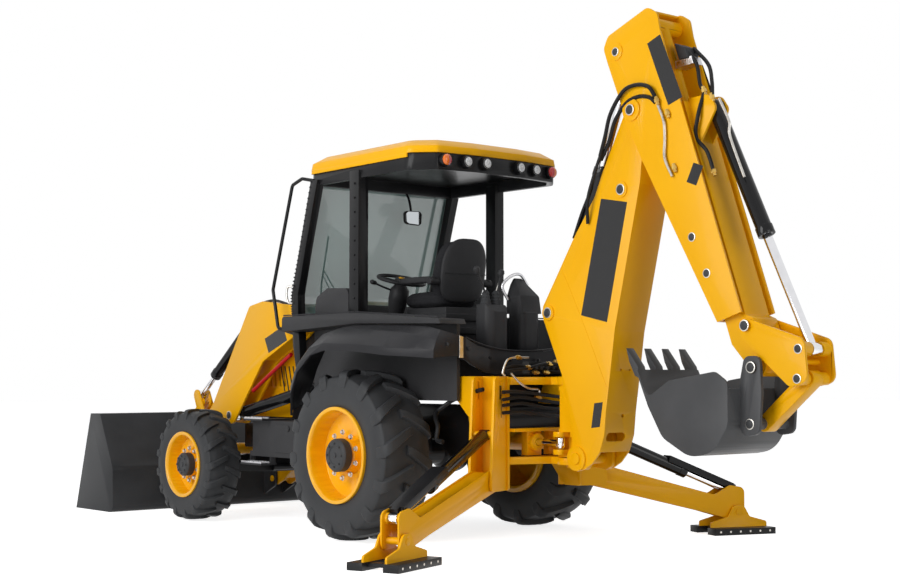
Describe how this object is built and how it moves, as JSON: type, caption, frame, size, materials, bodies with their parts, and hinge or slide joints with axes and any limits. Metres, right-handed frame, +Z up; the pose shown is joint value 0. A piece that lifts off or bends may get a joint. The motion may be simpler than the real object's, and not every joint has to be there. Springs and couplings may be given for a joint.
{
  "type": "backhoe loader",
  "caption": "Backhoe loader with an open canopy: front loader arms and shovel, rear swinging boom, extending dipper and digging bucket, two stabiliser legs.",
  "frame": {"origin": "middle of the bounding box at ground level", "axes": "+X forwards to the loader bucket, +Y to the left, +Z up"},
  "size_m": [7.4002, 3.9598, 3.6623],
  "materials": {
    "yellow_paint": "gloss",
    "black_paint": "satin",
    "grey_paint": "satin",
    "black_plastic": "matte",
    "chrome": "polished",
    "tyre_rubber": "matte",
    "glass": "polished",
    "seat_cover": "matte",
    "cast_iron": "matte"
  },
  "bodies": {
    "chassis": {"main_frame": "black_paint", "rear_frame": "yellow_paint", "engine": "cast_iron", "rear_axle": "black_paint", "front_axle": "black_paint", "platform": "black_plastic", "fenders": "black_plastic", "canopy_frame": "black_paint", "roof": "yellow_paint", "windscreen": "glass", "seat": "seat_cover", "seat_base": "black_plastic", "steering_column": "black_plastic", "backhoe_controls": "black_plastic", "side_tanks": "black_plastic", "swing_ram_barrels": "yellow_paint", "work_lamps": "black_paint"},
    "bonnet": {"bonnet": "yellow_paint"},
    "loader_arms": {"loader_arms": "yellow_paint"},
    "lift_rams": {"lift_ram_barrels": "black_paint"},
    "lift_rods": {"lift_ram_rods": "chrome"},
    "tilt_rams": {"tilt_ram_barrels": "black_paint"},
    "tilt_rods": {"tilt_ram_rods": "chrome"},
    "tilt_levers": {"tilt_levers": "yellow_paint"},
    "tilt_links": {"tilt_links": "yellow_paint"},
    "loader_bucket": {"loader_bucket": "grey_paint"},
    "kingpost": {"kingpost": "yellow_paint"},
    "boom": {"boom": "yellow_paint"},
    "boom_ram": {"boom_ram_barrel": "black_paint"},
    "boom_rod": {"boom_ram_rod": "chrome"},
    "dipper": {"dipper": "yellow_paint", "slide_ram_barrel": "black_paint"},
    "dipper_ram": {"dipper_ram_barrel": "black_paint"},
    "dipper_rod": {"dipper_ram_rod": "chrome"},
    "dipper_slide": {"dipper_slide": "yellow_paint"},
    "bucket_lever": {"bucket_lever": "yellow_paint"},
    "bucket_link": {"bucket_link": "yellow_paint"},
    "bucket_ram": {"bucket_ram_barrel": "black_paint"},
    "bucket_rod": {"bucket_ram_rod": "chrome"},
    "dig_bucket": {"dig_bucket": "grey_paint"},
    "rear_wheel_left": {"tyre_rear_left": "tyre_rubber", "rim_rear_left": "yellow_paint"},
    "front_wheel_left": {"tyre_front_left": "tyre_rubber", "rim_front_left": "yellow_paint"},
    "knuckle_left": {"knuckle_left": "black_paint"},
    "swing_rod_left": {"swing_rod_left": "chrome"},
    "leg_left": {"leg_left": "yellow_paint"},
    "foot_left": {"foot_left": "yellow_paint"},
    "leg_ram_left": {"leg_ram_barrel_left": "black_paint"},
    "leg_rod_left": {"leg_ram_rod_left": "chrome"},
    "rear_wheel_right": {"tyre_rear_right": "tyre_rubber", "rim_rear_right": "yellow_paint"},
    "front_wheel_right": {"tyre_front_right": "tyre_rubber", "rim_front_right": "yellow_paint"},
    "knuckle_right": {"knuckle_right": "black_paint"},
    "swing_rod_right": {"swing_rod_right": "chrome"},
    "leg_right": {"leg_right": "yellow_paint"},
    "foot_right": {"foot_right": "yellow_paint"},
    "leg_ram_right": {"leg_ram_barrel_right": "black_paint"},
    "leg_rod_right": {"leg_ram_rod_right": "chrome"}
  },
  "joints": [
    {"name": "rear_wheel_left", "type": "hinge", "parent": "chassis", "child": "rear_wheel_left", "pos_m": [-0.235, 0.883, 0.63], "axis": [0, 1, 0], "continuous": true},
    {"name": "steering_left", "type": "hinge", "parent": "chassis", "child": "knuckle_left", "pos_m": [1.935, 0.76, 0.47], "axis": [0, 0, 1], "range_deg": [-28, 28]},
    {"name": "front_wheel_left", "type": "hinge", "parent": "knuckle_left", "child": "front_wheel_left", "pos_m": [1.935, 0.95, 0.47], "axis": [0, 1, 0], "continuous": true},
    {"name": "rear_wheel_right", "type": "hinge", "parent": "chassis", "child": "rear_wheel_right", "pos_m": [-0.235, -0.883, 0.63], "axis": [0, 1, 0], "continuous": true},
    {"name": "steering_right", "type": "hinge", "parent": "chassis", "child": "knuckle_right", "pos_m": [1.935, -0.76, 0.47], "axis": [0, 0, 1], "range_deg": [-28, 28]},
    {"name": "front_wheel_right", "type": "hinge", "parent": "knuckle_right", "child": "front_wheel_right", "pos_m": [1.935, -0.95, 0.47], "axis": [0, 1, 0], "continuous": true},
    {"name": "bonnet", "type": "hinge", "parent": "chassis", "child": "bonnet", "pos_m": [0.94, 0, 1.78], "axis": [0, -1, 0], "range_deg": [0, 50]},
    {"name": "loader_arms", "type": "hinge", "parent": "chassis", "child": "loader_arms", "pos_m": [0.945, 0, 1.69], "axis": [0, -1, 0], "range_deg": [0, 78]},
    {"name": "lift_rams", "type": "hinge", "parent": "chassis", "child": "lift_rams", "pos_m": [0.825, 0, 1.11], "axis": [0, -1, 0], "range_deg": [0, 66]},
    {"name": "lift_rods", "type": "slide", "parent": "lift_rams", "child": "lift_rods", "axis": [0.9791, 0, -0.2035], "range_m": [0, 0.6867]},
    {"name": "loader_bucket", "type": "hinge", "parent": "loader_arms", "child": "loader_bucket", "pos_m": [2.87, 0, 0.24], "axis": [0, 1, 0], "range_deg": [-38, 75]},
    {"name": "tilt_levers", "type": "hinge", "parent": "loader_arms", "child": "tilt_levers", "pos_m": [2.385, 0, 0.7], "axis": [0, 1, 0], "range_deg": [-38, 75]},
    {"name": "tilt_links", "type": "hinge", "parent": "tilt_levers", "child": "tilt_links", "pos_m": [2.495, 0, 0.975], "axis": [0, -1, 0], "range_deg": [-38, 75]},
    {"name": "tilt_rams", "type": "hinge", "parent": "loader_arms", "child": "tilt_rams", "pos_m": [1.605, 0, 1.77], "axis": [0, -1, 0], "range_deg": [-4, 3]},
    {"name": "tilt_rods", "type": "slide", "parent": "tilt_rams", "child": "tilt_rods", "axis": [0.7929, 0, -0.6093], "range_m": [-0.2233, 0.4377]},
    {"name": "swing", "type": "hinge", "parent": "chassis", "child": "kingpost", "pos_m": [-1.565, 0, 0.735], "axis": [0, 0, 1], "range_deg": [-90, 90]},
    {"name": "swing_rod_left", "type": "slide", "parent": "chassis", "child": "swing_rod_left", "axis": [-1, 0, 0], "range_m": [-0.1283, 0.1283]},
    {"name": "swing_rod_right", "type": "slide", "parent": "chassis", "child": "swing_rod_right", "axis": [1, 0, 0], "range_m": [-0.1283, 0.1283]},
    {"name": "boom", "type": "hinge", "parent": "kingpost", "child": "boom", "pos_m": [-1.767, 0, 0.636], "axis": [0, -1, 0], "range_deg": [0, 120]},
    {"name": "boom_ram", "type": "hinge", "parent": "kingpost", "child": "boom_ram", "pos_m": [-1.685, 0, 0.95], "axis": [0, -1, 0], "range_deg": [0, 121]},
    {"name": "boom_rod", "type": "slide", "parent": "boom_ram", "child": "boom_rod", "axis": [-0.3209, 0, 0.9471], "range_m": [0, 0.5643]},
    {"name": "dipper", "type": "hinge", "parent": "boom", "child": "dipper", "pos_m": [-2.32, 0, 2.994], "axis": [0, 1, 0], "range_deg": [0, 110]},
    {"name": "dipper_ram", "type": "hinge", "parent": "boom", "child": "dipper_ram", "pos_m": [-1.49, 0, 1.656], "axis": [0, -1, 0], "range_deg": [-4, 0]},
    {"name": "dipper_rod", "type": "slide", "parent": "dipper_ram", "child": "dipper_rod", "axis": [-0.3657, 0, 0.9307], "range_m": [-0.7335, 0]},
    {"name": "dipper_slide", "type": "slide", "parent": "dipper", "child": "dipper_slide", "axis": [-0.3267, 0, -0.9451], "range_m": [0, 1.1]},
    {"name": "dig_bucket", "type": "hinge", "parent": "dipper_slide", "child": "dig_bucket", "pos_m": [-3.31416, 0, 1.25968], "axis": [0, 1, 0], "range_deg": [0, 150]},
    {"name": "bucket_lever", "type": "hinge", "parent": "dipper_slide", "child": "bucket_lever", "pos_m": [-3.24424, 0, 1.52012], "axis": [0, 1, 0], "range_deg": [0, 109]},
    {"name": "bucket_link", "type": "hinge", "parent": "bucket_lever", "child": "bucket_link", "pos_m": [-3.625, 0, 1.19], "axis": [0, 1, 0], "range_deg": [-51, 0]},
    {"name": "bucket_ram", "type": "hinge", "parent": "dipper_slide", "child": "bucket_ram", "pos_m": [-2.89238, 0, 2.9665], "axis": [0, -1, 0], "range_deg": [0, 3]},
    {"name": "bucket_rod", "type": "slide", "parent": "bucket_ram", "child": "bucket_rod", "axis": [-0.4218, 0, -0.9067], "range_m": [-0.6763, 0]},
    {"name": "leg_left", "type": "hinge", "parent": "chassis", "child": "leg_left", "pos_m": [-1.243, 0.543, 0.467], "axis": [0.9397, 0.342, 0], "range_deg": [0, 72]},
    {"name": "leg_ram_left", "type": "hinge", "parent": "chassis", "child": "leg_ram_left", "pos_m": [-1.243, 0.543, 0.795], "axis": [0.9397, 0.342, 0], "range_deg": [0, 79]},
    {"name": "leg_rod_left", "type": "slide", "parent": "leg_ram_left", "child": "leg_rod_left", "axis": [-0.3167, 0.8701, -0.3776], "range_m": [-0.3728, 0]},
    {"name": "foot_left", "type": "hinge", "parent": "leg_left", "child": "foot_left", "pos_m": [-1.65137, 1.66499, 0.166], "axis": [0.9397, 0.342, 0], "range_deg": [-20, 20]},
    {"name": "leg_right", "type": "hinge", "parent": "chassis", "child": "leg_right", "pos_m": [-1.243, -0.543, 0.467], "axis": [-0.9397, 0.342, 0], "range_deg": [0, 72]},
    {"name": "leg_ram_right", "type": "hinge", "parent": "chassis", "child": "leg_ram_right", "pos_m": [-1.243, -0.543, 0.795], "axis": [-0.9397, 0.342, 0], "range_deg": [0, 79]},
    {"name": "leg_rod_right", "type": "slide", "parent": "leg_ram_right", "child": "leg_rod_right", "axis": [-0.3167, -0.8701, -0.3776], "range_m": [-0.3728, 0]},
    {"name": "foot_right", "type": "hinge", "parent": "leg_right", "child": "foot_right", "pos_m": [-1.65137, -1.66499, 0.166], "axis": [-0.9397, 0.342, 0], "range_deg": [-20, 20]}
  ],
  "couplings": [
    {"joint": "steering_right", "follows": "steering_left", "ratio": 1},
    {"joint": "lift_rams", "follows": "loader_arms", "ratio": 0.8272},
    {"joint": "lift_rods", "follows": "loader_arms", "m_per_rad": 0.5022},
    {"joint": "tilt_levers", "follows": "loader_bucket", "ratio": 1},
    {"joint": "tilt_links", "follows": "loader_bucket", "ratio": 1},
    {"joint": "tilt_rams", "follows": "loader_bucket", "ratio": -0.0302},
    {"joint": "tilt_rods", "follows": "loader_bucket", "m_per_rad": 0.3321},
    {"joint": "swing_rod_left", "follows": "swing", "m_per_rad": 0.0798},
    {"joint": "swing_rod_right", "follows": "swing", "m_per_rad": 0.0798},
    {"joint": "boom_ram", "follows": "boom", "ratio": 0.9928},
    {"joint": "boom_rod", "follows": "boom", "m_per_rad": 0.268},
    {"joint": "dipper_ram", "follows": "dipper", "ratio": -0.0268},
    {"joint": "dipper_rod", "follows": "dipper", "m_per_rad": -0.3805},
    {"joint": "bucket_lever", "follows": "dig_bucket", "ratio": 0.715},
    {"joint": "bucket_link", "follows": "dig_bucket", "ratio": -0.3315},
    {"joint": "bucket_ram", "follows": "dig_bucket", "ratio": 0.0115},
    {"joint": "bucket_rod", "follows": "dig_bucket", "m_per_rad": -0.2572},
    {"joint": "leg_ram_left", "follows": "leg_left", "ratio": 1.0793},
    {"joint": "leg_rod_left", "follows": "leg_left", "m_per_rad": -0.2943},
    {"joint": "leg_ram_right", "follows": "leg_right", "ratio": 1.0793},
    {"joint": "leg_rod_right", "follows": "leg_right", "m_per_rad": -0.2943}
  ]
}
